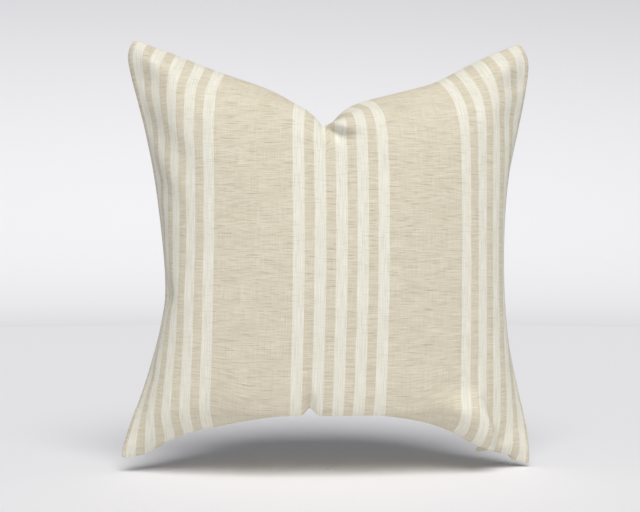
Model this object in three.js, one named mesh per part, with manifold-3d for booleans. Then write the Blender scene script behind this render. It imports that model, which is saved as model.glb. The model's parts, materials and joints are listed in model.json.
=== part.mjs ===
// A square throw pillow standing on its bottom edge: a knife-edge cover of two sewn panels with a
// concealed zipper in the bottom seam, over a sewn insert that holds a fibre fill.
// Millimetres, +Z up, front face toward -Y. The origin is under the middle of the pillow, level
// with the two bottom corners, which hang a little lower than the flat patch that it rests on.

import * as THREE from 'three';
import { mergeVertices } from 'three/addons/utils/BufferGeometryUtils.js';
import Module from 'manifold-3d';

const wasm = await Module();
wasm.setup();

// Outline of the stuffed cover, seen from the front. The top edge has a V pressed into it.
const HEIGHT = 501;
const HALF_WIDTH_BOTTOM = 238;
const HALF_WIDTH_TOP = 233;
const HALF_WIDTH_WAIST = 196;
const WAIST_HEIGHT = 230;
const SIDE_CURVE = 1.2;
const NOTCH_HEIGHT = 401;
const NOTCH_LIP = 18;
const NOTCH_LIP_REACH = 15;
const SEAM_RISE = 80;

// Fullness, and the flat patch on each side of the bottom seam that the pillow rests on.
const HALF_THICKNESS = 114;
const EDGE_ROUNDNESS = 0.55;
const LOWER_FULLNESS = 0.08;
const CHOP_DEPTH = 0.3;
const CHOP_WIDTH = 0.2;
const CONTACT_HEIGHT = 72;
const SAG = 40;
const SAG_SIDEWAYS = { full: 75, none: 130 };
const SAG_UPWARD = { full: -0.8, none: -0.2 };
const SAG_FROM_BULGE = { none: 0.08, full: 0.3 };

// Each layer is one closed surface, drawn a little inside the one before: how far its seam lies
// inside the cover's seam, how much less it bulges, and how far its seam stands off the mid-plane.
const COVER_OUTSIDE = { inset: 0, skin: 0, rim: 0.15 };
const COVER_INSIDE = { inset: 9, skin: 1.2, rim: 0.8 };
const LABEL_OUTSIDE = { inset: 12.8, skin: 1.7, rim: 0.3 };
const LABEL_INSIDE = { inset: 13.3, skin: 2.1, rim: 0.3 };
const INSERT_OUTSIDE = { inset: 18, skin: 3.2, rim: 0.15 };
const INSERT_INSIDE = { inset: 23, skin: 4.2, rim: 0.8 };
const FILL_OUTSIDE = { inset: 25, skin: 5.4, rim: 0 };
const SLOPED_TOP_INSET = 1.06;
const COVER_CELLS = 22;
const INSERT_CELLS = 18;
const FILL_CELLS = 18;
const LABEL_CELLS = 5;
const LABEL_ACROSS = [-0.93, -0.8];
const LABEL_UPWARD = [-0.3, -0.08];
const COVER_THREAD_INSET = 6;
const INSERT_THREAD_INSET = 21.4;
const THREAD_RADIUS = 0.27;
const THREAD_BOTTOM_STEPS = 8;
const INSERT_THREAD_GAP = 0.5;

// Zipper, along the arc of the bottom seam. Depths are measured from the seam into the pillow.
const ZIP_HALF_ANGLE = 31;
const STOP_HALF_ANGLE = 0.17;
const TUNNEL_END = 0.4;
const ZIP_STEPS = 36;
const COIL = { near: 0.2, far: 1.7, top: 3.1, bottom: 6.1 };
const TAPE = { near: 0.2, far: 0.7, top: 6.4, bottom: 15.5 };
const STOP_CLIP = { out: 2.7, wall: 0.65, near: 2.3, inner: 2.75, far: 6.5 };
const ROOM_HALF_SECTION = [[0.8, -1], [0.8, 1.7], [3.6, 1.7], [3.6, 7.7], [1, 7.7], [1, 16.2]];
const SLIDER_TRAVEL_HALF_ANGLE = 30.1;
const TAB_HANG_ANGLE = 38;
const PIN_DEPTH = -3.9;
const PIN = { radius: 0.5, length: 3.1 };
const SHELL = { length: 9, width: 6.4, from: 2.1, to: 7.3 };
const COIL_CHANNEL = { length: 11, width: 4.2, from: 2.7, to: 6.5 };
const TAPE_GAP = { length: 11, width: 2.2, from: 6, to: 8 };
const NECK = { length: 5, width: 0.9, from: -1.3, to: 2.4 };
const CROWN = { length: 5, width: 3.4, from: -1.6, to: -0.7 };
const EARS = { length: 2.8, width: 3.4, from: -4.9, to: -1 };
const EYE_ROOM = { length: 4, width: 2.2, from: -5.5, to: -1.6 };
const TAB = { length: 17, thickness: 1.2, eye: 1.9, tip: 2.6, eyeHole: 0.9, tipHole: 1.1 };

const FRONT = -1;
const BACK = 1;

const radians = THREE.MathUtils.degToRad;
const smooth = THREE.MathUtils.smoothstep;

// The bottom seam is one arc through both bottom corners, highest in the middle.
const ARC_RADIUS = (HALF_WIDTH_BOTTOM ** 2 + SEAM_RISE ** 2) / (2 * SEAM_RISE);
const ARC_CENTRE_Z = SEAM_RISE - ARC_RADIUS;

function sideHalfWidth(z) {
  const below = z < WAIST_HEIGHT;
  const reach = below ? WAIST_HEIGHT : HEIGHT - WAIST_HEIGHT;
  const flare = (below ? HALF_WIDTH_BOTTOM : HALF_WIDTH_TOP) - HALF_WIDTH_WAIST;
  return HALF_WIDTH_WAIST + flare * (Math.abs(z - WAIST_HEIGHT) / reach) ** SIDE_CURVE;
}

function topHeight(x) {
  const slope = (HEIGHT - NOTCH_HEIGHT - NOTCH_LIP) / HALF_WIDTH_TOP;
  const lip = NOTCH_LIP * (1 - Math.exp(-Math.abs(x) / NOTCH_LIP_REACH));
  return NOTCH_HEIGHT + slope * Math.abs(x) + lip;
}

// Where a side meets the top or the bottom edge, found by going back and forth between the two.
function cornerOf(sideX, edgeZ, startZ) {
  let z = startZ;
  for (let turn = 0; turn < 20; turn += 1) z = edgeZ(sideX(z));
  return new THREE.Vector2(sideX(z), z);
}

// The four edges of a seam line that runs the given distance inside the cover's own seam.
function makeOutline(inset) {
  const radius = ARC_RADIUS + inset;
  const sideX = (z) => sideHalfWidth(z) - inset;
  const topZ = (x) => topHeight(x) - inset * SLOPED_TOP_INSET;
  const bottomZ = (x) => ARC_CENTRE_Z + Math.sqrt(radius ** 2 - x ** 2);
  const low = cornerOf(sideX, bottomZ, 0);
  const high = cornerOf(sideX, topZ, HEIGHT);
  const endAngle = Math.asin(low.x / radius);
  return {
    low,
    high,
    bottom: (u) => new THREE.Vector2(
      radius * Math.sin(u * endAngle),
      ARC_CENTRE_Z + radius * Math.cos(u * endAngle),
    ),
    top: (u) => new THREE.Vector2(u * high.x, topZ(u * high.x)),
    side: (sign, v) => {
      const z = THREE.MathUtils.lerp(low.y, high.y, (v + 1) / 2);
      return new THREE.Vector2(sign * sideX(z), z);
    },
  };
}

// A point of the panel, seen from the front. u runs from left to right and v from bottom to top,
// both from -1 to 1, and the four edges are blended as in a Coons patch.
function planePoint(outline, u, v) {
  const s = (u + 1) / 2;
  const t = (v + 1) / 2;
  const across = outline.side(-1, v).lerp(outline.side(1, v), s);
  const upward = outline.bottom(u).lerp(outline.top(u), t);
  const corners = outline.low.clone().lerp(outline.high, t);
  corners.x *= u;
  return across.add(upward).sub(corners);
}

// How far the panel stands out at (u, v), as a share of the half thickness.
function bulge(u, v) {
  const round = ((1 - u * u) * (1 - v * v)) ** EDGE_ROUNDNESS;
  const chop = Math.exp(-((u / CHOP_WIDTH) ** 2)) * Math.max(0, v) ** 2;
  return round * (1 - LOWER_FULLNESS * v) * (1 - CHOP_DEPTH * chop);
}

// A point of one layer. Beside the bottom seam the belly sags onto the resting plane.
function layerPoint(layer, outline, side, u, v) {
  const point = planePoint(outline, u, v);
  const out = bulge(u, v);
  const middle = 1 - smooth(Math.abs(point.x), SAG_SIDEWAYS.full, SAG_SIDEWAYS.none);
  const low = 1 - smooth(v, SAG_UPWARD.full, SAG_UPWARD.none);
  const past = smooth(out, SAG_FROM_BULGE.none, SAG_FROM_BULGE.full);
  const sagged = point.y - SAG * middle * low * past;
  const z = Math.max(sagged, Math.min(point.y, CONTACT_HEIGHT + layer.skin));
  const y = side * (layer.rim + (HALF_THICKNESS - layer.skin - layer.rim) * out);
  return new THREE.Vector3(point.x, y, z);
}

// Steps that are short near both ends, where the panel turns over into the seam.
function seamSteps(cells) {
  return Array.from({ length: cells + 1 }, (_, i) => -Math.cos((Math.PI * i) / cells));
}

function evenSteps(from, to, cells) {
  return Array.from({ length: cells + 1 }, (_, i) => from + ((to - from) * i) / cells);
}

// A sheet of points over us and vs, its faces pointing to the given side, and its border in order.
function makeSheet(layer, side, us, vs) {
  const outline = makeOutline(layer.inset);
  const points = vs.flatMap((v) => us.map((u) => layerPoint(layer, outline, side, u, v)));
  const wide = us.length;
  const high = vs.length;
  const faces = [];
  for (let j = 0; j < high - 1; j += 1) {
    for (let i = 0; i < wide - 1; i += 1) {
      const a = j * wide + i;
      faces.push([a, a + 1, a + wide + 1], [a, a + wide + 1, a + wide]);
    }
  }
  const border = [];
  for (let i = 0; i < wide - 1; i += 1) border.push(i);
  for (let j = 0; j < high - 1; j += 1) border.push(j * wide + wide - 1);
  for (let i = wide - 1; i > 0; i -= 1) border.push((high - 1) * wide + i);
  for (let j = high - 1; j > 0; j -= 1) border.push(j * wide);
  return { points, faces: side === FRONT ? faces : faces.map(turned), border };
}

function turned([a, b, c]) {
  return [a, c, b];
}

function toGeometry(points, faces) {
  const geometry = new THREE.BufferGeometry();
  geometry.setAttribute('position', new THREE.Float32BufferAttribute(points.flatMap((p) => p.toArray()), 3));
  geometry.setIndex(faces.flat());
  return geometry;
}

// A panel of cloth between two layers, closed by its seam allowance along the border.
function makePanel(outside, inside, side, us, vs) {
  const outer = makeSheet(outside, side, us, vs);
  const inner = makeSheet(inside, side, us, vs);
  const shift = outer.points.length;
  const lining = inner.faces.map(turned).map((face) => face.map((i) => i + shift));
  const allowance = outer.border.flatMap((a, k) => {
    const b = outer.border[(k + 1) % outer.border.length];
    const strips = [[a, b + shift, b], [a, a + shift, b + shift]];
    return side === FRONT ? strips : strips.map(turned);
  });
  return toGeometry([...outer.points, ...inner.points], [...outer.faces, ...lining, ...allowance]);
}

// The fill: a front and a back sheet that share their border.
function makeFill() {
  const steps = seamSteps(FILL_CELLS);
  const front = makeSheet(FILL_OUTSIDE, FRONT, steps, steps);
  const back = makeSheet(FILL_OUTSIDE, BACK, steps, steps);
  const shift = front.points.length;
  const backFaces = back.faces.map((face) => face.map((i) => i + shift));
  return mergeVertices(toGeometry([...front.points, ...back.points], [...front.faces, ...backFaces]));
}

// Stations along the bottom seam: a point on it and the direction into the pillow.
function arcStations(fromDegrees, toDegrees, steps) {
  return evenSteps(radians(fromDegrees), radians(toDegrees), steps).map((angle) => {
    const inward = new THREE.Vector3(Math.sin(angle), 0, Math.cos(angle));
    const place = inward.clone().multiplyScalar(ARC_RADIUS).add(new THREE.Vector3(0, 0, ARC_CENTRE_Z));
    return { place, inward };
  });
}

// Stations along a seam line, round the corners from one side of a gap in the bottom seam to the
// other. The gap is given as an angle on each side of the middle.
function threadStations(inset, gapDegrees) {
  const outline = makeOutline(inset);
  const steps = seamSteps(COVER_CELLS);
  const gap = radians(gapDegrees) / Math.asin(outline.low.x / (ARC_RADIUS + inset));
  const path = [
    ...evenSteps(gap, 1, THREAD_BOTTOM_STEPS).map(outline.bottom),
    ...steps.slice(1).map((v) => outline.side(1, v)),
    ...steps.slice(1, -1).map((u) => outline.top(-u)),
    ...steps.map((v) => outline.side(-1, -v)),
    ...evenSteps(-1, -gap, THREAD_BOTTOM_STEPS).slice(1).map(outline.bottom),
  ];
  return path.map((point, k) => {
    const before = path[Math.max(0, k - 1)];
    const after = path[Math.min(path.length - 1, k + 1)];
    const along = after.clone().sub(before).normalize();
    return {
      place: new THREE.Vector3(point.x, 0, point.y),
      inward: new THREE.Vector3(-along.y, 0, along.x),
    };
  });
}

// Sweeps a section along the stations. Its corners are [y, depth], in anticlockwise order.
function sweep(stations, section) {
  const sides = section.length;
  const points = stations.flatMap(({ place, inward }) => section.map(([y, depth]) => (
    place.clone().addScaledVector(inward, depth).add(new THREE.Vector3(0, y, 0))
  )));
  const faces = [];
  for (let i = 0; i < stations.length - 1; i += 1) {
    for (let k = 0; k < sides; k += 1) {
      const a = i * sides + k;
      const b = i * sides + ((k + 1) % sides);
      faces.push([a, b, b + sides], [a, b + sides, a + sides]);
    }
  }
  const contour = section.map(([y, depth]) => new THREE.Vector2(y, depth));
  const cap = THREE.ShapeUtils.triangulateShape(contour, []);
  const last = (stations.length - 1) * sides;
  faces.push(...cap.map(turned), ...cap.map((face) => face.map((i) => i + last)));
  return toGeometry(points, faces);
}

function rectangle(y0, y1, depth0, depth1) {
  return [[y0, depth0], [y1, depth0], [y1, depth1], [y0, depth1]];
}

function withMirror(half) {
  return [...half, ...half.map(([y, depth]) => [-y, depth]).reverse()];
}

// A section of one side of the zipper, on the front or on the back of the mid-plane.
function sideSection(side, { near, far, top, bottom }) {
  return side === FRONT ? rectangle(-far, -near, top, bottom) : rectangle(near, far, top, bottom);
}

function makeThread(inset, gapDegrees) {
  const r = THREAD_RADIUS;
  return sweep(threadStations(inset, gapDegrees), [[0, -r], [r, 0], [0, r], [-r, 0]]);
}

// A small clip round both coils, open toward the tapes.
function makeStop(angle) {
  const { out, wall, near, inner, far } = STOP_CLIP;
  const half = [[out, near], [out, far], [out - wall, far], [out - wall, inner]];
  return sweep(arcStations(angle - STOP_HALF_ANGLE, angle + STOP_HALF_ANGLE, 1), withMirror(half));
}

// Room that the cover leaves along the zipper: a slit in the seam, a tunnel and the tapes' slot.
function makeZipperRoom() {
  const end = ZIP_HALF_ANGLE + TUNNEL_END;
  return sweep(arcStations(-end, end, ZIP_STEPS), withMirror(ROOM_HALF_SECTION));
}

function toSolid(geometry) {
  const bare = geometry.clone();
  bare.deleteAttribute('normal');
  bare.deleteAttribute('uv');
  const merged = mergeVertices(bare);
  return new wasm.Manifold(new wasm.Mesh({
    numProp: 3,
    vertProperties: new Float32Array(merged.attributes.position.array),
    triVerts: new Uint32Array(merged.index.array),
  }));
}

function fromSolid(solid) {
  const { vertProperties, triVerts } = solid.getMesh();
  const geometry = new THREE.BufferGeometry();
  geometry.setAttribute('position', new THREE.BufferAttribute(vertProperties, 3));
  geometry.setIndex(new THREE.BufferAttribute(triVerts, 1));
  return geometry;
}

function makeCoverPanel(side) {
  const steps = seamSteps(COVER_CELLS);
  const panel = makePanel(COVER_OUTSIDE, COVER_INSIDE, side, steps, steps);
  return fromSolid(toSolid(panel).subtract(toSolid(makeZipperRoom())));
}

function makeInsertPanel(side) {
  const steps = seamSteps(INSERT_CELLS);
  return makePanel(INSERT_OUTSIDE, INSERT_INSIDE, side, steps, steps);
}

// A blank label in the insert's left seam, lying on the back of the insert.
function makeLabel() {
  const us = evenSteps(...LABEL_ACROSS, LABEL_CELLS);
  const vs = evenSteps(...LABEL_UPWARD, LABEL_CELLS);
  return makePanel(LABEL_OUTSIDE, LABEL_INSIDE, BACK, us, vs);
}

// The slider's own frame: X along the seam, Y across it and Z into the pillow.
function block({ length, width, from, to }) {
  const geometry = new THREE.BoxGeometry(length, width, to - from);
  return toSolid(geometry.translate(0, 0, (from + to) / 2));
}

// A channel round both coils, a neck through the slit and two ears that hold the tab's pin.
function makeSlider() {
  const channel = block(SHELL).subtract(block(COIL_CHANNEL)).subtract(block(TAPE_GAP));
  const ears = block(EARS).subtract(block(EYE_ROOM));
  const rod = new THREE.CylinderGeometry(PIN.radius, PIN.radius, PIN.length, 16);
  const pin = toSolid(rod.translate(0, 0, PIN_DEPTH));
  return fromSolid(channel.add(block(NECK)).add(block(CROWN)).add(ears).add(pin));
}

// A flat tapered tab, drawn from its eye along -X, with a hole at each end.
function makePullTab() {
  const { length, thickness, eye, tip } = TAB;
  const meeting = Math.acos((tip - eye) / length);
  const shape = new THREE.Shape();
  shape.absarc(0, 0, eye, -meeting, meeting, false);
  shape.absarc(-length, 0, tip, meeting, 2 * Math.PI - meeting, false);
  shape.holes.push(new THREE.Path().absarc(0, 0, TAB.eyeHole, 0, 2 * Math.PI, true));
  shape.holes.push(new THREE.Path().absarc(-length, 0, TAB.tipHole, 0, 2 * Math.PI, true));
  const geometry = new THREE.ExtrudeGeometry(shape, {
    depth: thickness, bevelEnabled: false, curveSegments: 10,
  });
  return geometry.translate(0, 0, -thickness / 2).rotateX(Math.PI / 2);
}

const materials = {
  stripe: new THREE.MeshStandardMaterial({ color: 0xd8cfb9, roughness: 0.9, metalness: 0 }),
  thread: new THREE.MeshStandardMaterial({ color: 0xe4dcc6, roughness: 0.8, metalness: 0 }),
  tape: new THREE.MeshStandardMaterial({ color: 0xe9e3d2, roughness: 0.85, metalness: 0 }),
  coil: new THREE.MeshStandardMaterial({ color: 0xe6dfcc, roughness: 0.45, metalness: 0 }),
  enamel: new THREE.MeshStandardMaterial({ color: 0xe8dfc8, roughness: 0.35, metalness: 0.2 }),
  casing: new THREE.MeshStandardMaterial({ color: 0xf1f0ec, roughness: 0.85, metalness: 0 }),
  fill: new THREE.MeshStandardMaterial({ color: 0xf7f6f3, roughness: 1, metalness: 0 }),
  label: new THREE.MeshStandardMaterial({ color: 0xf4f3ef, roughness: 0.6, metalness: 0 }),
};

const group = new THREE.Group();

function addPart(name, geometry, material, parent = group) {
  const mesh = new THREE.Mesh(geometry, material.clone());
  mesh.name = name;
  parent.add(mesh);
}

addPart('cover_front_panel', makeCoverPanel(FRONT), materials.stripe);
addPart('cover_back_panel', makeCoverPanel(BACK), materials.stripe);
addPart('cover_seam_thread', makeThread(COVER_THREAD_INSET, ZIP_HALF_ANGLE + 1), materials.thread);
addPart('insert_front_panel', makeInsertPanel(FRONT), materials.casing);
addPart('insert_back_panel', makeInsertPanel(BACK), materials.casing);
addPart('insert_seam_thread', makeThread(INSERT_THREAD_INSET, INSERT_THREAD_GAP), materials.thread);
addPart('insert_care_label', makeLabel(), materials.label);
addPart('insert_fill', makeFill(), materials.fill);

const zipStations = arcStations(-ZIP_HALF_ANGLE, ZIP_HALF_ANGLE, ZIP_STEPS);
for (const [name, side] of [['front', FRONT], ['back', BACK]]) {
  addPart(`zipper_tape_${name}`, sweep(zipStations, sideSection(side, TAPE)), materials.tape);
  addPart(`zipper_coil_${name}`, sweep(zipStations, sideSection(side, COIL)), materials.coil);
}
addPart('zipper_top_stop', makeStop(ZIP_HALF_ANGLE), materials.enamel);
addPart('zipper_bottom_stop', makeStop(-ZIP_HALF_ANGLE), materials.enamel);

// The slider stands closed, at the right end of its travel, with the tab hanging clear of the seam.
const slider = new THREE.Group();
const [closed] = arcStations(SLIDER_TRAVEL_HALF_ANGLE, SLIDER_TRAVEL_HALF_ANGLE, 1);
slider.position.copy(closed.place);
slider.rotation.y = radians(SLIDER_TRAVEL_HALF_ANGLE);
group.add(slider);
addPart('zipper_slider', makeSlider(), materials.enamel, slider);

const tab = new THREE.Group();
tab.position.z = PIN_DEPTH;
tab.rotation.y = -radians(TAB_HANG_ANGLE);
slider.add(tab);
addPart('zipper_pull_tab', makePullTab(), materials.enamel, tab);

export default group;
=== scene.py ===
"""A square throw pillow in striped linen, standing with its top edge chopped into a V.

The cover is two flat panels of cloth, joined along a seam loop and inflated by Blender's cloth
simulation while the loop is drawn to its stuffed outline. The panels keep their flat coordinates,
in metres, as UVs, and the stripes and the weave are drawn in those.
"""

import json
import math

import bpy
import numpy as np
from mathutils.bvhtree import BVHTree
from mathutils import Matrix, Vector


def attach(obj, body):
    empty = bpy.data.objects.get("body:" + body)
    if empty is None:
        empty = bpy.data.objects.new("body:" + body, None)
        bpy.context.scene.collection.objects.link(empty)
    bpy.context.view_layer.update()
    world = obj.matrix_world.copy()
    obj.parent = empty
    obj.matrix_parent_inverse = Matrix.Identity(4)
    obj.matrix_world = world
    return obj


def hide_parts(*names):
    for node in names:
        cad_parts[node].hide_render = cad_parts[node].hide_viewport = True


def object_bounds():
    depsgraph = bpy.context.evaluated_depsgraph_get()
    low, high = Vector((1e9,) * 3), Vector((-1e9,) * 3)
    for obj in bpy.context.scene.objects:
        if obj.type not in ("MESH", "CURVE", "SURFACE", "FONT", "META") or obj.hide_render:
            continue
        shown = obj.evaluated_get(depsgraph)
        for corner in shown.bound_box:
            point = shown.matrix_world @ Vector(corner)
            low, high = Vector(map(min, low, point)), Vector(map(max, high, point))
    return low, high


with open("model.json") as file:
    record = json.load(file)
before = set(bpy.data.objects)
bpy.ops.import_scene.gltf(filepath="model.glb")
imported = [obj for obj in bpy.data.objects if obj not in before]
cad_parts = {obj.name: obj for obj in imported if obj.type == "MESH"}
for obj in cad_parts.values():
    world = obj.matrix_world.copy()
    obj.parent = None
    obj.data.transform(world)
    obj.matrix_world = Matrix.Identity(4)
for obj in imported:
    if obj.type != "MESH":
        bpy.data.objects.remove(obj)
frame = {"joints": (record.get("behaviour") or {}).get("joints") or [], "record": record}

cad_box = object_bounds()
joints = {joint["name"]: joint for joint in frame["joints"]}

# Cloth as cut, between the seams: metres.
SIDE = 0.508
CELLS = 80
CLOTH_THICKNESS = 0.0008
FRONT, BACK = -1, 1
SIDES = {"front": FRONT, "back": BACK}
CENTRE = np.array([0, 0, 0.25])
REST_Z = frame["record"]["mounts"][0]["pos_m"][2]

# Stripes: three groups of five, mirrored about the middle of the panel.
STRIPE_PITCH = 0.0234
STRIPE_WIDTH = 0.0127
STRIPES = 5
SIDE_GROUP = 0.1945
WARP_PITCH = 0.0011
WEFT_PITCH = 0.0010

# The bottom seam is the arc that the zipper's slider travels along.
ARC_CENTRE_Z = joints["slider_travel"]["pos_m"][2]
ARC_RADIUS = math.hypot(cad_box[1][0], ARC_CENTRE_Z)
ZIP_HALF_ANGLE = math.radians(31.2)
RIGHT_DROP = 0.006

# Seam allowance as (depth, distance from the middle plane), sewn together or hemmed at the zipper.
ALLOWANCE = ((0.0030, 0.00035), (0.0060, 0.00035), (0.0090, 0.00035), (0.0120, 0.00035))
ZIPPER_HEM = ((0.0007, 0.0008), (0.0012, 0.0011), (0.0016, 0.0017), (0.0019, 0.0025))
CORNER_CLIP = 0.035

# Outline of the stuffed cover, as (x, z). Left and right differ, as a pillow set down by hand does.
LEFT_SEAM = [(-0.2415, 0.014), (-0.2305, 0.050), (-0.209, 0.113), (-0.193, 0.175), (-0.189, 0.225),
             (-0.1985, 0.320), (-0.211, 0.390), (-0.2285, 0.460), (-0.2315, 0.483), (-0.227, 0.501)]
RIGHT_SEAM = [(0.2415, 0.000), (0.2365, 0.045), (0.218, 0.130), (0.2055, 0.205), (0.204, 0.270),
              (0.215, 0.345), (0.231, 0.420), (0.2385, 0.465), (0.238, 0.485), (0.230, 0.503)]
TOP_SEAM_LEFT = [(-0.227, 0.501), (-0.175, 0.482), (-0.127, 0.462), (-0.080, 0.439), (-0.045, 0.412),
                 (-0.014, 0.384)]
TOP_SEAM_RIGHT = [(-0.014, 0.384), (0.010, 0.401), (0.040, 0.420), (0.085, 0.438), (0.123, 0.452),
                  (0.175, 0.479), (0.230, 0.503)]

# Simulation: frames, the frame at which the seam has reached its outline, and the pressure.
FRAMES = 45
SEAM_DRAWN_FRAME = 15
PRESSURE = 26

# The fine grid keeps these distances from each seam, then even steps: metres.
NEAR_SEAM = np.array([0, 0.0005, 0.0011, 0.0019, 0.0029, 0.0042, 0.0058, 0.0077, 0.0100, 0.0126])
FIRST_EVEN = 0.0153
EVEN_POINTS = 160

# How far in from a seam its cloth is laid afresh, in cells, and how high its arc may rise.
SEAM_DEPTH = 10
ARC_RISE = 0.16
CORNER_RISE = 0.10

# Shaping: metres.
ROLL_HEIGHT = 0.0027
ROLL_WIDTH = 0.013
LIP_GAP = 0.0006
SAG = 0.022
REST_SOFTNESS = 0.0025
CORNER_SIZE = 0.0065
CORNER_PULL = 0.0038
CHOP_X = -0.0125
CHOP_DEPTH = 0.0175
DENT_DEPTH = 0.0085
LOBE_HEIGHT = 0.005
CREASE_STEP = 0.0085
CREASE_ROLL = 0.011
FRONT_HANG = 0.0125
PLEAT_X = -0.0265
PLEAT_HEIGHT = 0.0085

# Inner layers, as shares of the cover, drawn towards a point above its middle.
SHRINK_Z = 0.300
INSERT_SHARE = 0.945
FILL_SHARE = 0.925
LABEL_SHARE = 0.958
INSERT_ROOM = 0.0030
FILL_ROOM = 0.0045
SEAM_LIFT = 0.018
NOTCH_DROP = 0.012
CASING_THICKNESS = 0.0004
LABEL_THICKNESS = 0.0003

# Seam thread: metres. A stitch is STITCH_SAMPLES steps long.
THREAD_RADIUS = 0.0002
STITCH_SAMPLES = 8
STITCH_STEP = 0.00038
SEAM_LENGTH = 1.95

# Zipper coils: degrees and metres. The coil's radius is COIL_HEIGHT up and COIL_REACH across.
COIL_HALF_ANGLE = 30.8
COIL_PITCH = 0.0014
COIL_SAMPLES = 12
COIL_WIRE = 0.00028
COIL_OUT = 0.00100
COIL_REACH = 0.00045
COIL_DEPTH = 0.0046
COIL_HEIGHT = 0.00120

# Studio: metres, degrees, and colours as seen on a screen.
FLOOR_RADIUS = 3.2
BEND = 1.6
WALL_HEIGHT = 7
PAPER = (245, 245, 249)
# The wall is the floor's paper painted a shade darker: painted shade, dimming the wall's bend where it
# catches the sun.
WALL_PAPER_PAINTED_SHADE = (236, 236, 240)
SKY = (238, 240, 247)
SKY_STRENGTH = 0.20
SUN_STRENGTH = 2.74
SUN_COLOUR = (1.0, 0.985, 0.955)
SUN_WIDTH = 42
SUN_HEIGHT = 52
SUN_AZIMUTH = 2

# Camera: metres, degrees and millimetres of lens.
CAMERA_AIM = np.array([-0.009, 0, 0.25])
CAMERA_AZIMUTH = -4.8
CAMERA_DISTANCE = 1.5
CAMERA_LENS = 72.1


def smoothstep(low, high, x):
    t = np.clip((x - low) / (high - low), 0, 1)
    return t * t * (3 - 2 * t)


def bump(x, middle, width):
    return np.exp(-(((x - middle) / width) ** 2))


# ---------------------------------------------------------------- the seam loop

def spline(points, steps=40):
    """A Catmull-Rom curve through the points."""
    p = np.array(points, float)
    p = np.vstack([2 * p[0] - p[1], p, 2 * p[-1] - p[-2]])
    t = np.linspace(0, 1, steps, endpoint=False)[:, None]
    spans = [
        0.5 * (2 * b + (c - a) * t + (2 * a - 5 * b + 4 * c - d) * t**2 + (3 * b - a - 3 * c + d) * t**3)
        for a, b, c, d in zip(p[:-3], p[1:-2], p[2:-1], p[3:])
    ]
    return np.vstack([*spans, p[-2:-1]])


def evenly(path, count):
    """count + 1 points at equal distances along a path."""
    run = np.r_[0, np.cumsum(np.linalg.norm(np.diff(path, axis=0), axis=1))]
    at = np.linspace(0, run[-1], count + 1)
    return np.column_stack([np.interp(at, run, path[:, k]) for k in range(path.shape[1])])


def bottom_seam():
    """The zipper's arc. Past the zipper its left end lifts and its right end drops to the corners."""
    x = np.linspace(LEFT_SEAM[0][0], RIGHT_SEAM[0][0], 400)
    z = ARC_CENTRE_Z + np.sqrt(ARC_RADIUS**2 - x**2)
    zip_end = ARC_RADIUS * math.sin(ZIP_HALF_ANGLE)
    for (corner_x, corner_z), end_z in ((LEFT_SEAM[0], z[0]), (RIGHT_SEAM[0], z[-1])):
        past = np.clip((x * np.sign(corner_x) - zip_end) / (abs(corner_x) - zip_end), 0, 1)
        z = z + (corner_z - end_z) * past**1.5
    z -= RIGHT_DROP * smoothstep(zip_end, 0.218, x) * (1 - smoothstep(0.222, RIGHT_SEAM[0][0], x))
    return np.column_stack([x, z])


def top_seam():
    """Two runs down into the notch of the V."""
    return np.vstack([spline(TOP_SEAM_LEFT)[:-1], spline(TOP_SEAM_RIGHT)])


# ---------------------------------------------------------------- the cloth simulation

def grid_index():
    """Vertex numbers of the front and the back grid, [row, column], with a shared border."""
    size = CELLS + 1
    front = np.arange(size * size).reshape(size, size)
    back = front.copy()
    back[1:-1, 1:-1] = size * size + np.arange((size - 2) ** 2).reshape(size - 2, size - 2)
    return front, back


def quads(index):
    corners = (index[:-1, :-1], index[:-1, 1:], index[1:, 1:], index[1:, :-1])
    return np.stack([c.ravel() for c in corners], axis=1)


def flat_bag(front, back):
    """Both panels laid flat on each other, puffed a little so that the pressure has a side to push."""
    at = np.linspace(-0.5, 0.5, CELLS + 1) * SIDE
    x, z = np.meshgrid(at, at)
    puff = 0.02 * np.sqrt((1 - (2 * x / SIDE) ** 2).clip(0) * (1 - (2 * z / SIDE) ** 2).clip(0))
    places = np.zeros((back.max() + 1, 3))
    for index, side in ((back, BACK), (front, FRONT)):
        places[index.ravel()] = np.stack([x, side * puff, z + SIDE / 2], axis=2).reshape(-1, 3)
    faces = [*quads(front).tolist(), *quads(back)[:, ::-1].tolist()]
    mesh = bpy.data.meshes.new("bag")
    mesh.from_pydata(places.tolist(), [], faces)
    bag = bpy.data.objects.new("bag", mesh)
    bpy.context.scene.collection.objects.link(bag)
    return bag


def draw_seam(bag, front):
    """Shape key that takes the border to the stuffed outline, and the pins that hold it there."""
    bag.shape_key_add(name="Basis")
    drawn = bag.shape_key_add(name="drawn")
    pins = bag.vertex_groups.new(name="pins")
    edges = (
        (front[0, :], bottom_seam()),
        (front[:, 0], spline(LEFT_SEAM)),
        (front[:, -1], spline(RIGHT_SEAM)),
        (front[-1, :], top_seam()),
    )
    for index, path in edges:
        for vertex, (x, z) in zip(index.tolist(), evenly(path, CELLS)):
            drawn.data[vertex].co = (x, 0, z)
            pins.add([vertex], 1.0, "REPLACE")
    drawn.value = 0
    drawn.keyframe_insert("value", frame=1)
    drawn.value = 1
    drawn.keyframe_insert("value", frame=SEAM_DRAWN_FRAME)


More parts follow.
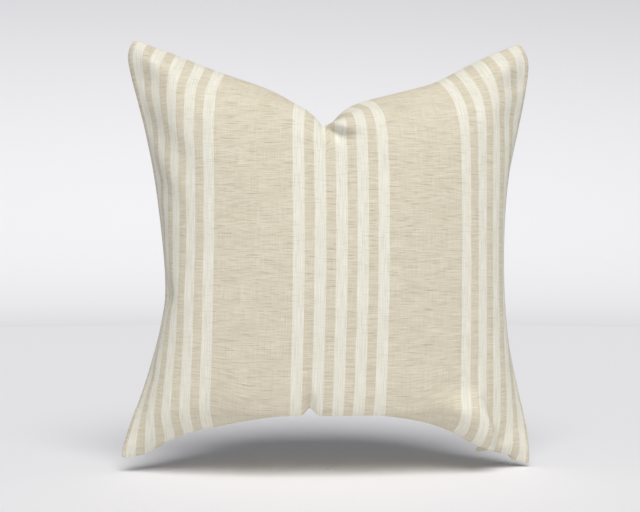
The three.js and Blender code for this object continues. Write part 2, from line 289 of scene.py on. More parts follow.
def inflate():
    """Front and back panel as inflated, each an array of places [row, column, xyz]."""
    frames = FRAMES
    front, back = grid_index()
    bag = flat_bag(front, back)
    draw_seam(bag, front)
    cloth = bag.modifiers.new("cloth", "CLOTH")
    linen = cloth.settings
    linen.quality = 6
    linen.mass = 0.3
    linen.tension_stiffness = 60
    linen.compression_stiffness = 2
    linen.shear_stiffness = 1
    linen.bending_stiffness = 20
    linen.tension_damping = 10
    linen.compression_damping = 10
    linen.shear_damping = 10
    linen.air_damping = 4
    linen.vertex_group_mass = "pins"
    linen.use_pressure = True
    linen.uniform_pressure_force = PRESSURE
    linen.effector_weights.gravity = 0
    cloth.collision_settings.use_collision = False
    cloth.point_cache.frame_start = 1
    cloth.point_cache.frame_end = frames
    scene = bpy.context.scene
    scene.frame_start = 1
    scene.frame_end = frames
    for number in range(1, frames + 1):
        scene.frame_set(number)
    shaped = bag.evaluated_get(bpy.context.evaluated_depsgraph_get()).data
    places = np.empty(len(shaped.vertices) * 3)
    shaped.vertices.foreach_get("co", places)
    bpy.data.objects.remove(bag)
    scene.frame_set(1)
    places = places.reshape(-1, 3)
    return places[front], places[back]


# ---------------------------------------------------------------- finer grid and shaping

def seam_distances():
    """Flat distances across a panel: close together at both seams, even between them."""
    inner = np.linspace(FIRST_EVEN, SIDE - FIRST_EVEN, EVEN_POINTS)
    return np.r_[NEAR_SEAM, inner, SIDE - NEAR_SEAM[::-1]]


def cubic_weights(at):
    """Matrix that takes the values at the grid's points to values at the given grid positions."""
    weights = np.zeros((len(at), CELLS + 1))
    for row, position in enumerate(at):
        k = min(int(position), CELLS - 1)
        t = position - k
        parts = (
            -0.5 * t + t**2 - 0.5 * t**3,
            1 - 2.5 * t**2 + 1.5 * t**3,
            0.5 * t + 2 * t**2 - 1.5 * t**3,
            -0.5 * t**2 + 0.5 * t**3,
        )
        for step, part in zip((-1, 0, 1, 2), parts):
            weights[row, min(max(k + step, 0), CELLS)] += part
    return weights


def relax(places, rounds=2):
    """Takes the simulation's finest ripples out, away from the border."""
    for _ in range(rounds):
        mean = (places[:-2, 1:-1] + places[2:, 1:-1] + places[1:-1, :-2] + places[1:-1, 2:]) / 4
        places[1:-1, 1:-1] += 0.5 * (mean - places[1:-1, 1:-1])
    return places


def spread_shear(places):
    """Evens out how far the rows near each seam have slid along it, so that no stripe breaks there."""
    for inward in (places, places[::-1], places.swapaxes(0, 1), places.swapaxes(0, 1)[::-1]):
        seam = inward[0]
        tangent = np.gradient(seam, axis=0)
        tangent /= np.linalg.norm(tangent, axis=1, keepdims=True)
        slid = np.einsum("kic,ic->ki", inward[: SEAM_DEPTH + 1] - seam, tangent)
        share = np.linspace(0, 1, SEAM_DEPTH + 1)[:, None]
        steps = np.arange(CELLS + 1)
        hold = smoothstep(0, SEAM_DEPTH, np.minimum(steps, CELLS - steps))
        move = (slid[-1] * share - slid) * hold
        inward[: SEAM_DEPTH + 1] += move[..., None] * tangent
    return places


def lay_arc(start, end, out, rise, steps):
    """Places on a shallow arc that rises out of the straight line from start to end."""
    t = np.linspace(0, 1, steps + 1)[:, None]
    return start + t * (end - start) + 4 * rise * t * (1 - t) * out


def loft_from_seam(strip, depths, shares):
    """Lays the cloth next to a seam on arcs about as long as the cloth, down to the given depths."""
    seam = strip[0].copy()
    tangent = np.gradient(seam, axis=0)
    for k in range(1, CELLS):
        depth = depths[k]
        chord = strip[depth, k] - seam[k]
        span = np.linalg.norm(chord)
        out = np.cross(tangent[k], chord)
        out *= np.sign(out @ (seam[k] + chord / 2 - CENTRE)) / np.linalg.norm(out)
        slack = max(depth * SIDE / CELLS / span - 1, 0)
        rise = span * min(math.sqrt(3 / 8 * slack), ARC_RISE)
        arc = lay_arc(seam[k], strip[depth, k], out, rise, depth)
        strip[: depth + 1, k] += shares[k] * (arc - strip[: depth + 1, k])


def loft_corner(places, side, column):
    """Lays the diagonal out of a top corner on an arc."""
    steps = np.arange(SEAM_DEPTH + 1)
    diagonal = (CELLS - steps, np.abs(column - steps))
    corner, inner = places[diagonal][0], places[diagonal][-1]
    chord = inner - corner
    out = np.array([0, side, 0]) - chord * (side * chord[1]) / (chord @ chord)
    places[diagonal] = lay_arc(corner, inner, out, CORNER_RISE * np.linalg.norm(chord), SEAM_DEPTH)


def loft_top(places, side):
    """Top seam and top corners: the cloth runs smoothly over the shoulder to the seam."""
    for column in (0, CELLS):
        loft_corner(places, side, column)
    steps = np.arange(CELLS + 1)
    depths = np.minimum(np.minimum(steps, CELLS - steps), SEAM_DEPTH)
    loft_from_seam(places[::-1], depths, np.ones(CELLS + 1))
    shares = 1 - smoothstep(SEAM_DEPTH, 2.5 * SEAM_DEPTH, CELLS - steps)
    for strip in (places.swapaxes(0, 1), places.swapaxes(0, 1)[::-1]):
        loft_from_seam(strip, depths, shares)
    return places


def refine(places):
    weights = cubic_weights(seam_distances() / SIDE * CELLS)
    return np.einsum("ai,bj,ijk->abk", weights, weights, places)


def wander(x, seed, period):
    """Smooth noise along x, between about -1 and 1, the same each run."""
    rng = np.random.default_rng(seed)
    total = np.zeros_like(x)
    for share in (1.0, 0.61, 0.37):
        total += share * np.sin(2 * math.pi * x / (period * share) + rng.uniform(0, 2 * math.pi))
    return total / 1.98


def roll_seam(places, side, flat_x, flat_z):
    """The seam allowance inside swells the edge into a low roll, puckered by the stitching."""
    to_side = SIDE / 2 - np.abs(flat_x)
    to_end = SIDE / 2 - np.abs(flat_z)
    edge = np.minimum(to_side, to_end)
    along = np.where(to_side < to_end, flat_z, flat_x)
    pucker = 1 + 0.22 * wander(along, 5 + side, 0.027)
    swell = ROLL_HEIGHT * (1 - np.exp(-edge / 0.0011)) * bump(edge, 0, ROLL_WIDTH) * pucker
    lips = np.where(edge < 1e-6, 0.00012, 0)
    places[..., 1] += side * (swell + lips)


def part_zipper_lips(places, side, flat_z):
    """The two lips over the zipper stay a little apart, so that the slider's neck can pass."""
    edge = SIDE / 2 + flat_z
    places[..., 1] += side * LIP_GAP * over_zipper(places) * np.exp(-edge / 0.004)


def rest_on_seat(places, flat_z):
    """The fill settles over the bottom seam and lies flat where the pillow rests."""
    edge = SIDE / 2 + flat_z
    x, z = places[..., 0], places[..., 2]
    middle = 1 - smoothstep(0.075, 0.150, np.abs(x))
    sag = SAG * middle * smoothstep(0.004, 0.030, edge) * (1 - smoothstep(0.05, 0.17, edge))
    lowered = z - sag
    floor = np.minimum(z, REST_Z)
    gap = (lowered - floor) / REST_SOFTNESS
    softened = np.where(gap > 20, gap, np.log1p(np.exp(np.minimum(gap, 20))))
    places[..., 2] = floor + REST_SOFTNESS * softened


def round_corners(places, flat_x, flat_z):
    """The seam turns each corner on a small curve."""
    to_side = SIDE / 2 - np.abs(flat_x)
    to_end = SIDE / 2 - np.abs(flat_z)
    near = np.exp(-(to_side + to_end) / CORNER_SIZE)
    inset = 14
    for row, column in ((0, 0), (0, -1), (-1, 0), (-1, -1)):
        inner = places[inset if row == 0 else -1 - inset, inset if column == 0 else -1 - inset]
        inward = inner - places[row, column]
        inward[1] = 0
        inward /= np.linalg.norm(inward)
        here = ((flat_x < 0) == (column == 0)) & ((flat_z < 0) == (row == 0))
        places += CORNER_PULL * (near * here)[..., None] * inward


def press_chop(places, side):
    """The hand's chop into the top edge leaves a sharp valley, with the right lobe folded over it."""
    x, y, z = places[..., 0], places[..., 1], places[..., 2]
    high = smoothstep(0.350, 0.398, z)
    valley = np.exp(-np.abs(x - CHOP_X) / 0.0135)
    out = smoothstep(0.0, 0.06, np.abs(y))
    places[..., 2] -= CHOP_DEPTH * valley * high * (0.25 + 0.75 * out)
    if side == FRONT:
        run = np.clip((x + 0.0115) / 0.026, 0, 1)
        line_z = 0.3915 - 0.0095 * run
        outside = smoothstep(0.05, 0.085, -y)
        above = z - line_z
        under_lobe = np.where(above > 0, bump(above, 0, 0.0035), bump(above, 0, 0.012))
        places[..., 1] += DENT_DEPTH * under_lobe * bump(x, 0.001, 0.0145) * outside
        lobe = bump(above, 0.0105, 0.0075) * bump(x, 0.012, 0.018) * outside
        places[..., 1] -= LOBE_HEIGHT * lobe


def fold_low_corner(places, flat_z):
    """The front's slack cloth hangs in one fold above its lower right corner."""
    x, z = places[..., 0], places[..., 2]
    off_seam = smoothstep(0.002, 0.022, SIDE / 2 + flat_z)
    crease_x = 0.191 - 0.020 * smoothstep(0.050, 0.095, z)
    past = x - crease_x
    tall = smoothstep(0.030, 0.050, z) * (1 - smoothstep(0.070, 0.105, z))
    step = -np.tanh(past / 0.0028) * np.exp(-((past / 0.022) ** 2))
    roll = bump(past, -0.030, 0.026)
    places[..., 1] -= off_seam * tall * (CREASE_STEP * step + CREASE_ROLL * roll)
    hang = bump(x, 0.176, 0.040) * (1 - smoothstep(0.040, 0.110, z))
    places[..., 2] -= FRONT_HANG * hang * smoothstep(0.002, 0.013, -places[..., 1])


def pinch_low_middle(places, flat_z):
    """A small pleat where the front is caught between the seat and the bottom seam."""
    x, z = places[..., 0], places[..., 2]
    low = 1 - smoothstep(REST_Z + 0.004, REST_Z + 0.035, z)
    pleat = bump(x, PLEAT_X, 0.0058) * smoothstep(0.002, 0.014, SIDE / 2 + flat_z)
    places[..., 2] += PLEAT_HEIGHT * pleat * low
    places[..., 1] += 0.004 * pleat * low


def shape_panel(places, side):
    """One panel's fine grid, shaped, and its flat coordinates."""
    places = loft_top(spread_shear(relax(places.copy())), side)
    places = refine(relax(places, rounds=4))
    at = seam_distances() - SIDE / 2
    flat_x, flat_z = np.meshgrid(at, at)
    press_chop(places, side)
    rest_on_seat(places, flat_z)
    if side == FRONT:
        fold_low_corner(places, flat_z)
        pinch_low_middle(places, flat_z)
    round_corners(places, flat_x, flat_z)
    roll_seam(places, side, flat_x, flat_z)
    part_zipper_lips(places, side, flat_z)
    return places, np.stack([flat_x, flat_z], axis=2)


def thin_out(places, flat):
    """The shaped panel on the simulation's coarser grid, for the layers inside it."""
    at = np.interp(np.linspace(-SIDE / 2, SIDE / 2, CELLS + 1), seam_distances() - SIDE / 2,
                   np.arange(len(places)))
    picked = at.round().astype(int)
    return places[np.ix_(picked, picked)], flat[np.ix_(picked, picked)]


# ---------------------------------------------------------------- pieces

def add_piece(name, mesh, body, material, replaced=()):
    piece = bpy.data.objects.new(name, mesh)
    bpy.context.scene.collection.objects.link(piece)
    mesh.materials.append(material)
    mesh.shade_smooth()
    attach(piece, body)
    if replaced:
        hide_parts(*replaced)
    return piece


def rim(rows, columns):
    """Vertex numbers round a grid's border, anticlockwise as seen from the front."""
    index = np.arange(rows * columns).reshape(rows, columns)
    return np.r_[index[0, :-1], index[:-1, -1], index[-1, :0:-1], index[:0:-1, 0]]


def outward(loop):
    """Directions in the XZ plane that point out of a closed anticlockwise loop of places."""
    along = np.roll(loop, -1, axis=0) - np.roll(loop, 1, axis=0)
    out = np.stack([along[:, 2], np.zeros(len(loop)), -along[:, 0]], axis=1)
    return out / np.linalg.norm(out, axis=1, keepdims=True)


def over_zipper(places):
    """1 along the zipper and 0 past its ends."""
    angle = np.abs(np.arctan2(places[..., 0], places[..., 2] - ARC_CENTRE_Z))
    return (1 - smoothstep(ZIP_HALF_ANGLE, ZIP_HALF_ANGLE + 0.02, angle)) * (places[..., 2] < 0.1)


def turn_in(places, flat, side):
    """Rows of seam allowance inside the seam: sewn flat, or hemmed short along the zipper."""
    rows, columns = places.shape[:2]
    border = rim(rows, columns)
    loop = places.reshape(-1, 3)[border]
    loop_flat = flat.reshape(-1, 2)[border]
    out = outward(loop)
    zipped = over_zipper(loop)[:, None]
    to_corner = np.linalg.norm(SIDE / 2 - np.abs(loop_flat), axis=1, keepdims=True)
    clipped = 0.1 + 0.9 * smoothstep(0, CORNER_CLIP, to_corner)
    strips, strips_flat = [], []
    for (depth, off), (hem_depth, hem_off) in zip(ALLOWANCE, ZIPPER_HEM):
        inward = (depth + (hem_depth - depth) * zipped) * clipped
        aside = off + (hem_off - off) * zipped
        strip = loop - inward * out
        strip[:, 1] = (side * aside)[:, 0]
        strips.append(strip)
        strips_flat.append(loop_flat * (1 + 2 * depth / SIDE))
    return border, np.vstack(strips), np.vstack(strips_flat)


def cloth_mesh(name, places, flat, side, allowance=False):
    """A sheet of quads facing away from the pillow's middle, with its flat coordinates as UVs."""
    rows, columns = places.shape[:2]
    points, uvs = places.reshape(-1, 3), flat.reshape(-1, 2)
    faces = quads(np.arange(rows * columns).reshape(rows, columns))
    if allowance:
        border, strips, strips_flat = turn_in(places, flat, side)
        size = len(border)
        near = border
        for number in range(len(strips) // size):
            far = len(points) + number * size + np.arange(size)
            strip = np.stack([np.roll(near, -1), near, far, np.roll(far, -1)], axis=1)
            faces = np.vstack([faces, strip])
            near = far
        points = np.vstack([points, strips])
        uvs = np.vstack([uvs, strips_flat])
    if side == BACK:
        faces = faces[:, ::-1]
    mesh = bpy.data.meshes.new(name)
    mesh.from_pydata(points.tolist(), [], faces.tolist())
    layer = mesh.uv_layers.new(name="flat")
    corner = np.empty(len(mesh.loops), int)
    mesh.loops.foreach_get("vertex_index", corner)
    layer.data.foreach_set("uv", uvs[corner].ravel())
    return mesh


def thicken(piece, thickness):
    solid = piece.modifiers.new("thickness", "SOLIDIFY")
    solid.thickness = thickness
    solid.offset = -1


def make_cover(panels):
    linen = striped_linen()
    for name, side in SIDES.items():
        places, flat = panels[name]
        mesh = cloth_mesh(f"cover_{name}", places, flat, side, allowance=True)
        panel = add_piece(mesh.name, mesh, "cover", linen, [f"cover_{name}_panel"])
        thicken(panel, CLOTH_THICKNESS)


def shrink(places, share):
    """A layer that lies inside the cover, clear of the zipper at its foot and of the notch."""
    inner = places.copy()
    inner[..., :2] *= share
    inner[..., 2] = SHRINK_Z + (places[..., 2] - SHRINK_Z) * share
    at_notch = bump(places[..., 0], -0.008, 0.060) * smoothstep(0.320, 0.375, places[..., 2])
    inner[..., 2] -= NOTCH_DROP * at_notch
    rows = np.arange(len(places))[:, None] / (len(places) - 1)
    near_seam = (1 - smoothstep(0.0, 0.25, rows)) * bump(inner[..., 1], 0, 0.035)
    inner[..., 2] += SEAM_LIFT * near_seam
    return inner


def keep_inside(inner, panel, side, room):
    """Pushes a layer's places in, wherever they come closer to the cover than room."""
    index = np.arange(panel.shape[0] * panel.shape[1]).reshape(panel.shape[:2])
    cover = BVHTree.FromPolygons(panel.reshape(-1, 3).tolist(), quads(index).tolist())
    for row in inner[1:-1]:
        for place in row[1:-1]:
            near, normal, _, _ = cover.find_nearest(place)
            out = -side * np.array(normal)
            if (np.array(near) - place) @ out < room:
                place[:] = np.array(near) - room * out
    return inner


def make_insert(layers):
    """The sewn insert: a front and a back of white casing over one closed body of fibre."""
    casing = white_casing()
    for name, side in SIDES.items():
        coarse, flat = layers[name]
        inner = keep_inside(shrink(coarse, INSERT_SHARE), coarse, side, INSERT_ROOM)
        mesh = cloth_mesh(f"insert_{name}", inner, flat * INSERT_SHARE, side)
        panel = add_piece(mesh.name, mesh, "cover", casing, [f"insert_{name}_panel"])
        thicken(panel, CASING_THICKNESS)
    make_fill(layers)


def make_fill(layers):
    """One closed body: the back's border points are the front's."""
    front, back = (
        keep_inside(shrink(layers[name][0], FILL_SHARE), layers[name][0], side, FILL_ROOM)
        for name, side in SIDES.items()
    )
    index, back_index = grid_index()
    points = np.zeros((back_index.max() + 1, 3))
    points[back_index.ravel()] = back.reshape(-1, 3)
    points[index.ravel()] = front.reshape(-1, 3)
    points[rim(*index.shape), 1] = 0
    faces = [*quads(index).tolist(), *quads(back_index)[:, ::-1].tolist()]
    mesh = bpy.data.meshes.new("fill")
    mesh.from_pydata(points.tolist(), [], faces)
    fill = add_piece("fill", mesh, "cover", fibre(), ["insert_fill"])


def make_label(layers):
    """A blank label, sewn into the insert's left seam and lying on its back."""
    coarse, flat = layers["back"]
    rows = slice(round(0.36 * CELLS), round(0.46 * CELLS) + 1)
    columns = slice(1, 7)
    inner = shrink(coarse, LABEL_SHARE)[rows, columns]
    mesh = cloth_mesh("care_label", inner, flat[rows, columns], BACK)
    label = add_piece("care_label", mesh, "cover", satin(), ["insert_care_label"])
    smooth = label.modifiers.new("smooth", "SUBSURF")
    smooth.levels = smooth.render_levels = 2
    thicken(label, LABEL_THICKNESS)


def wire(name, points, radius, body, material, replaced):
    """A thread or a coil: a thin round wire along the points."""
    curve = bpy.data.curves.new(name, "CURVE")
    curve.dimensions = "3D"
    curve.bevel_depth = radius
    curve.bevel_resolution = 1
    line = curve.splines.new("POLY")
    line.points.add(len(points) - 1)
    line.points.foreach_set("co", np.column_stack([points, np.ones(len(points))]).ravel())
    drawn = bpy.data.objects.new(f"{name}_line", curve)
    mesh = bpy.data.meshes.new_from_object(drawn)
    mesh.name = name
    bpy.data.objects.remove(drawn)
    return add_piece(name, mesh, body, material, replaced)


def stitch(name, loop, depth, width, material, replaced):
    """Lockstitches along a seam, passing to and fro through both layers of the allowance."""
    path = evenly(loop - depth * outward(loop), round(SEAM_LENGTH / STITCH_STEP))
    weave = np.arange(len(path)) * 2 * math.pi / STITCH_SAMPLES
    path[:, 1] = width * np.clip(1.8 * np.sin(weave), -1, 1)
    wire(name, path, THREAD_RADIUS, "cover", material, [replaced])


def make_threads(panels, layers):
    places, _ = panels["front"]
    border = rim(*places.shape[:2])
    loop = places.reshape(-1, 3)[border] * (1, 0, 1)
    unzipped = over_zipper(loop) < 0.01
    start = int(np.flatnonzero(~unzipped)[-1]) + 1 if not unzipped.all() else 0
    zip_free = np.roll(loop, -start, axis=0)[: int(unzipped.sum())]
    thread = cotton_thread()
    stitch("cover_thread", zip_free, 0.0045, 0.00135, thread, "cover_seam_thread")
    coarse = shrink(layers["front"][0], INSERT_SHARE)
    insert_loop = coarse.reshape(-1, 3)[rim(*coarse.shape[:2])] * (1, 0, 1)
    stitch("insert_thread", insert_loop, 0.0035, 0.0009, thread, "insert_seam_thread")


def make_zipper():
    """Nylon coils wound along the arc, and materials for the zipper's other parts."""
    nylon = coil_nylon()
    tape = woven_tape()
    length = 2 * ARC_RADIUS * math.radians(COIL_HALF_ANGLE)
    turns = round(length / COIL_PITCH)
    winding = np.linspace(0, 2 * math.pi * turns, turns * COIL_SAMPLES)
    angle = np.radians(COIL_HALF_ANGLE) * (winding / (math.pi * turns) - 1)
    for name, side in SIDES.items():
        phase = winding + (math.pi if side == BACK else 0)
        depth = COIL_DEPTH + COIL_HEIGHT * np.cos(phase)
        y = side * (COIL_OUT + COIL_REACH * np.sin(phase))
        radius = ARC_RADIUS + depth
        points = np.column_stack([radius * np.sin(angle), y, ARC_CENTRE_Z + radius * np.cos(angle)])
        wire(f"coil_{name}", points, COIL_WIRE, "cover", nylon, [f"zipper_coil_{name}"])
        bpy.data.objects[f"zipper_tape_{name}"].material_slots[0].material = tape
    enamel = cream_enamel()
    for name in ("top_stop", "bottom_stop", "slider", "pull_tab"):
        bpy.data.objects[f"zipper_{name}"].material_slots[0].material = enamel


# ---------------------------------------------------------------- materials

def srgb(red, green, blue):
    """A colour as the eye reads it on a screen, from 0 to 255, as Blender wants it."""
    parts = np.array([red, green, blue]) / 255
    linear = np.where(parts <= 0.04045, parts / 12.92, ((parts + 0.055) / 1.055) ** 2.4)
    return (*linear.tolist(), 1.0)


class Shader:
    """A material's node tree, with a short call for each kind of node."""

    def __init__(self, name, roughness, sheen=0.0, metallic=0.0):
        self.material = bpy.data.materials.new(name)
        self.material.use_nodes = True
        self.tree = self.material.node_tree
        self.surface = self.tree.nodes["Principled BSDF"]
        self.surface.inputs["Roughness"].default_value = roughness
        self.surface.inputs["Metallic"].default_value = metallic
        self.surface.inputs["Sheen Weight"].default_value = sheen
        self.surface.inputs["Sheen Roughness"].default_value = 0.5

    def put(self, socket, value):
        if hasattr(value, "links"):
            self.tree.links.new(value, socket)
        else:
            socket.default_value = value

    def node(self, kind, **settings):
        made = self.tree.nodes.new(kind)
        for key, value in settings.items():
            setattr(made, key, value)
        return made

    def math(self, operation, *values):
        made = self.node("ShaderNodeMath", operation=operation)
        for socket, value in zip(made.inputs, values):
            self.put(socket, value)
        return made.outputs[0]

    def flat(self):
        """The cloth's flat coordinates, in metres."""
        made = self.node("ShaderNodeUVMap", uv_map="flat")
        split = self.node("ShaderNodeSeparateXYZ")
        self.put(split.inputs[0], made.outputs[0])
        return split.outputs[0], split.outputs[1]

    def grain(self, x, y, length_x, length_y, seed, detail=2.0):
        """Noise from 0 to 1 whose features are about length_x by length_y metres."""
        place = self.node("ShaderNodeCombineXYZ")
        self.put(place.inputs[0], self.math("MULTIPLY", x, 1 / length_x))
        self.put(place.inputs[1], self.math("MULTIPLY", y, 1 / length_y))
        place.inputs[2].default_value = seed
        noise = self.node("ShaderNodeTexNoise")
        self.put(noise.inputs["Vector"], place.outputs[0])
        noise.inputs["Scale"].default_value = 1.0
        noise.inputs["Detail"].default_value = detail
        return noise.outputs["Fac"]

    def ramp(self, value, low, high, to_low=0.0, to_high=1.0):
        made = self.node("ShaderNodeMapRange", interpolation_type="SMOOTHSTEP")
        for socket, number in zip(made.inputs[:5], (value, low, high, to_low, to_high)):
            self.put(socket, number)
        return made.outputs[0]

    def mix(self, factor, first, second, blend="MIX"):
        made = self.node("ShaderNodeMix", data_type="RGBA", blend_type=blend)
        self.put(made.inputs[0], factor)
        self.put(made.inputs[6], first)
        self.put(made.inputs[7], second)
        return made.outputs[2]

    def colour(self, value):
        self.put(self.surface.inputs["Base Color"], value)

    def relief(self, height, depth):
        """Bump from a height of 0 to 1 that stands for depth metres."""
        made = self.node("ShaderNodeBump")
        made.inputs["Distance"].default_value = depth
        self.put(made.inputs["Height"], height)
        self.put(self.surface.inputs["Normal"], made.outputs[0])


def stripe_mask(shader, x, y):
    """1 on the off-white stripes and 0 on the ground, with edges as uneven as the yarn."""
    away = shader.math("ABSOLUTE", x)
    to_side_group = shader.math("ABSOLUTE", shader.math("SUBTRACT", away, SIDE_GROUP))
    to_group = shader.math("MINIMUM", away, to_side_group)
    to_stripe = shader.math("PINGPONG", to_group, STRIPE_PITCH / 2)
    uneven = shader.grain(x, y, 0.02, 0.0009, 3.0)
    edge = shader.math("ADD", to_stripe, shader.math("MULTIPLY_ADD", uneven, 0.0009, -0.00045))
    stripe = shader.ramp(edge, STRIPE_WIDTH / 2 - 0.0003, STRIPE_WIDTH / 2 + 0.0003, 1.0, 0.0)
    in_group = shader.math("LESS_THAN", to_group, STRIPE_PITCH * STRIPES / 2)
    return shader.math("MULTIPLY", stripe, in_group)


def striped_linen():
    """Plain weave of slubby beige yarn with stripes of smoother off-white cotton."""
    shader = Shader("striped_linen", roughness=0.9, sheen=0.04)
    x, y = shader.flat()
    stripe = stripe_mask(shader, x, y)
    weft = shader.grain(x, y, 0.024, 0.00085, 11.0, 2.0)
    warp = shader.grain(x, y, 0.00085, 0.030, 23.0, 2.0)
    cloudy = shader.grain(x, y, 0.045, 0.012, 17.0, 3.0)
    slub = shader.ramp(shader.grain(x, y, 0.022, 0.00075, 31.0, 1.0), 0.63, 0.70)
    bright_slub = shader.ramp(shader.grain(x, y, 0.016, 0.00085, 47.0, 1.0), 0.64, 0.72)
    fleck = shader.ramp(shader.grain(x, y, 0.0040, 0.0009, 41.0, 1.0), 0.74, 0.79)
    yarns = shader.math("MULTIPLY_ADD", warp, 0.34, shader.math("MULTIPLY", weft, 0.66))
    ground = shader.mix(shader.ramp(yarns, 0.36, 0.64), srgb(212, 204, 182), srgb(232, 225, 205))
    ground = shader.mix(shader.ramp(cloudy, 0.35, 0.70, 0.0, 0.35), ground, srgb(212, 203, 180))
    ground = shader.mix(shader.math("MULTIPLY", bright_slub, 0.55), ground, srgb(242, 237, 222))
    ground = shader.mix(shader.math("MULTIPLY", slub, 0.60), ground, srgb(184, 173, 148))
    white = shader.mix(shader.ramp(warp, 0.30, 0.70), srgb(228, 225, 209), srgb(245, 243, 231))
    white = shader.mix(shader.math("MULTIPLY", slub, 0.25), white, srgb(208, 200, 179))
    cloth = shader.mix(stripe, ground, white)
    cloth = shader.mix(shader.math("MULTIPLY", fleck, 0.55), cloth, srgb(146, 133, 110))
    shader.colour(cloth)
    yarn_x = shader.math("SINE", shader.math("MULTIPLY", x, 2 * math.pi / WARP_PITCH))
    yarn_y = shader.math("SINE", shader.math("MULTIPLY", y, 2 * math.pi / WEFT_PITCH))
    weave = shader.math("MULTIPLY_ADD", shader.math("MULTIPLY", yarn_x, yarn_y), 0.22, 0.3)
    height = shader.math("MULTIPLY_ADD", yarns, 0.9, weave)
    height = shader.math("MULTIPLY_ADD", slub, 0.5, height)
    shader.relief(height, 0.00026)
    return shader.material


def white_casing():
    """Plain white cotton with a fine weave."""
    shader = Shader("white_casing", roughness=0.9, sheen=0.08)
    x, y = shader.flat()
    warp = shader.grain(x, y, 0.0006, 0.02, 5.0)
    weft = shader.grain(x, y, 0.02, 0.0006, 9.0)
    yarns = shader.math("MULTIPLY_ADD", warp, 0.5, shader.math("MULTIPLY", weft, 0.5))
    shader.colour(shader.mix(shader.ramp(yarns, 0.35, 0.65), srgb(232, 231, 226), srgb(246, 245, 241)))
    shader.relief(yarns, 0.0002)
    return shader.material


def satin():
    """Blank woven satin."""
    shader = Shader("label_satin", roughness=0.45, sheen=0.2)
    x, y = shader.flat()
    ribs = shader.grain(x, y, 0.012, 0.0004, 7.0)
    shader.colour(shader.mix(ribs, srgb(236, 235, 230), srgb(250, 249, 246)))
    shader.relief(ribs, 0.0001)
    return shader.material


def place_grain(shader, scale, detail):
    """Noise in the object's own space, in features of about 1 / scale metres."""
    place = shader.node("ShaderNodeTexCoord")
    noise = shader.node("ShaderNodeTexNoise")
    shader.put(noise.inputs["Vector"], place.outputs["Object"])
    noise.inputs["Scale"].default_value = scale
    noise.inputs["Detail"].default_value = detail
    return noise.outputs["Fac"]


def fibre():
    """Fluffy white polyester fibre."""
    shader = Shader("fibre", roughness=1.0, sheen=0.3)
    fluff = place_grain(shader, 90, 6)
    shader.colour(shader.mix(shader.ramp(fluff, 0.3, 0.7), srgb(226, 226, 224), srgb(250, 250, 248)))
    shader.relief(fluff, 0.006)
    return shader.material


def cotton_thread():
    """Cream thread with a slight twist."""
    shader = Shader("cotton_thread", roughness=0.75, sheen=0.15)
    twist = place_grain(shader, 2500, 2)
    shader.colour(shader.mix(twist, srgb(222, 212, 188), srgb(240, 233, 214)))
    shader.relief(twist, 0.0001)
    return shader.material


def coil_nylon():
    """Cream nylon, a little glossy."""
    shader = Shader("coil_nylon", roughness=0.38)
    tone = place_grain(shader, 700, 3)
    shader.colour(shader.mix(shader.ramp(tone, 0.3, 0.7), srgb(222, 213, 190), srgb(236, 229, 210)))
    shader.relief(tone, 0.00004)
    return shader.material


def woven_tape():
    """Cream polyester tape with ribs along and across."""
    shader = Shader("woven_tape", roughness=0.8, sheen=0.1)
    weave = place_grain(shader, 1600, 2)
    wear = place_grain(shader, 120, 3)
    tone = shader.mix(shader.ramp(weave, 0.35, 0.65), srgb(220, 213, 194), srgb(240, 235, 220))
    shader.colour(shader.mix(shader.ramp(wear, 0.45, 0.75, 0.0, 0.4), tone, srgb(214, 206, 186)))
    shader.relief(weave, 0.00015)
    return shader.material


def cream_enamel():
    """Cream enamel over metal, rubbed a little."""
    shader = Shader("cream_enamel", roughness=0.33)
    tone = place_grain(shader, 260, 3)
    rub = place_grain(shader, 1400, 4)
    coat = shader.mix(shader.ramp(tone, 0.35, 0.7), srgb(228, 219, 196), srgb(238, 231, 212))
    shader.colour(shader.mix(shader.ramp(rub, 0.66, 0.76, 0.0, 0.6), coat, srgb(196, 186, 164)))
    shader.put(shader.surface.inputs["Roughness"], shader.ramp(rub, 0.3, 0.8, 0.27, 0.5))
    shader.relief(rub, 0.00003)
    return shader.material


# ---------------------------------------------------------------- stage

def ring_mesh(name, profile, steps=96):
    """A surface of revolution about Z, from (radius, height) pairs that start at radius 0."""
    turn = np.linspace(0, 2 * math.pi, steps, endpoint=False)
    places = [(r * math.cos(a), r * math.sin(a), h) for r, h in profile for a in turn.tolist()]
    faces = []
    for ring in range(len(profile) - 1):
        for k in range(steps):
            after = (k + 1) % steps
            low, high = ring * steps, (ring + 1) * steps
            faces.append((low + k, low + after, high + after, high + k))
    mesh = bpy.data.meshes.new(name)
    mesh.from_pydata(places, [], faces)
    mesh.shade_smooth()
    return mesh


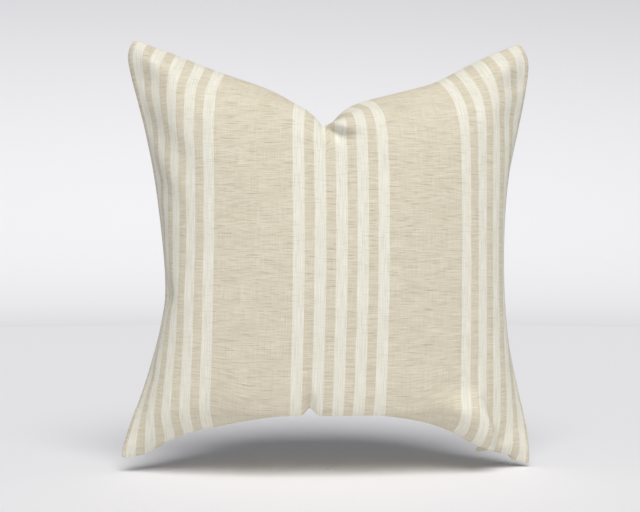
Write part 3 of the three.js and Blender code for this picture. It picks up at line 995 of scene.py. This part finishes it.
def make_stage():
    """A pale floor that curves up into a pale wall all round, the wall's paper a shade darker as painted
    shade, a pale world and one wide soft sun.
    """
    papers = {}
    # The wall gets a darker copy of the floor's paper: painted shade.
    for name, tone in (("floor", PAPER), ("wall", WALL_PAPER_PAINTED_SHADE)):
        paper = Shader(f"{name}_paper", roughness=0.95)
        paper.colour(srgb(*tone))
        papers[name] = paper.material
    bend = [(FLOOR_RADIUS + BEND * math.sin(a), BEND * (1 - math.cos(a)))
            for a in np.linspace(0, math.pi / 2, 13).tolist()]
    profiles = {
        "floor": [(0.001, 0), (0.5, 0), (FLOOR_RADIUS, 0)],
        "wall": [*bend, (FLOOR_RADIUS + BEND, WALL_HEIGHT)],
    }
    for name, profile in profiles.items():
        mesh = ring_mesh(name, profile)
        mesh.materials.append(papers[name])
        surface = bpy.data.objects.new(name, mesh)
        bpy.context.scene.collection.objects.link(surface)
    surface.visible_shadow = False
    surface.visible_diffuse = False
    surface.visible_glossy = False
    world = bpy.data.worlds.new("pale")
    world.use_nodes = True
    sky = world.node_tree.nodes["Background"]
    sky.inputs["Color"].default_value = srgb(*SKY)
    sky.inputs["Strength"].default_value = SKY_STRENGTH
    bpy.context.scene.world = world
    data = bpy.data.lights.new("sun", "SUN")
    data.energy = SUN_STRENGTH
    data.angle = math.radians(SUN_WIDTH)
    data.color = SUN_COLOUR
    sun = bpy.data.objects.new("sun", data)
    sun.rotation_euler = (math.radians(90 - SUN_HEIGHT), 0, math.radians(SUN_AZIMUTH))
    bpy.context.scene.collection.objects.link(sun)


def make_camera():
    """A level camera at the pillow's middle, turned a few degrees to its left side."""
    data = bpy.data.cameras.new("camera")
    data.lens = CAMERA_LENS
    camera = bpy.data.objects.new("camera", data)
    turn = math.radians(CAMERA_AZIMUTH)
    camera.location = CAMERA_AIM + CAMERA_DISTANCE * np.array([math.sin(turn), -math.cos(turn), 0])
    camera.rotation_euler = (math.pi / 2, 0, turn)
    bpy.context.scene.collection.objects.link(camera)
    bpy.context.scene.camera = camera


# ---------------------------------------------------------------- build

make_camera()
make_stage()
bpy.context.scene.view_settings.view_transform = "Standard"

puffed = dict(zip(SIDES, inflate()))
panels = {name: shape_panel(puffed[name], side) for name, side in SIDES.items()}
layers = {name: thin_out(*panels[name]) for name in SIDES}
make_cover(panels)
make_insert(layers)
make_label(layers)
make_threads(panels, layers)
make_zipper()
